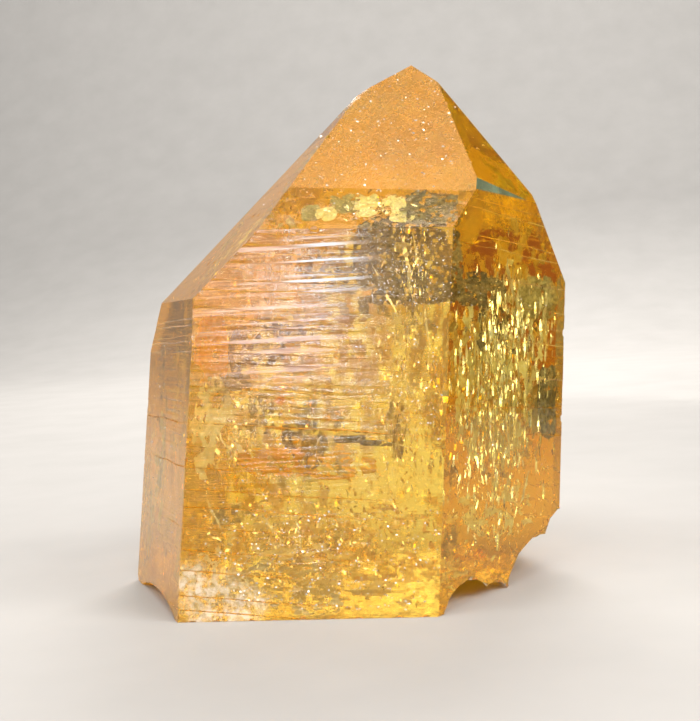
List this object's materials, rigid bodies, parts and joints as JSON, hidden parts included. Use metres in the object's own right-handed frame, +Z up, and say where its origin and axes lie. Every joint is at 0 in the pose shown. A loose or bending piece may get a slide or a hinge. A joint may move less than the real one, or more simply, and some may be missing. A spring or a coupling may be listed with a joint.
{
  "type": "aura quartz crystal",
  "caption": "Upright golden quartz point with slanted tip faces, level growth ledges down the prism and a broken foot cut flat so that it stands by itself.",
  "frame": {"origin": "centre of the bounding box at the height of the flat cut, which is the plane the crystal stands on", "axes": "+Z up, -Y towards the viewer in front of the broad front prism face, +X to the viewer's right; the crystal's long axis leans about 5 degrees to +X and 5 degrees to +Y"},
  "size_m": [0.0516, 0.0387, 0.0578],
  "materials": {
    "crystal": "glossy natural faces with fine growth ledges"
  },
  "bodies": {
    "root": {"crystal": "crystal"}
  },
  "joints": []
}
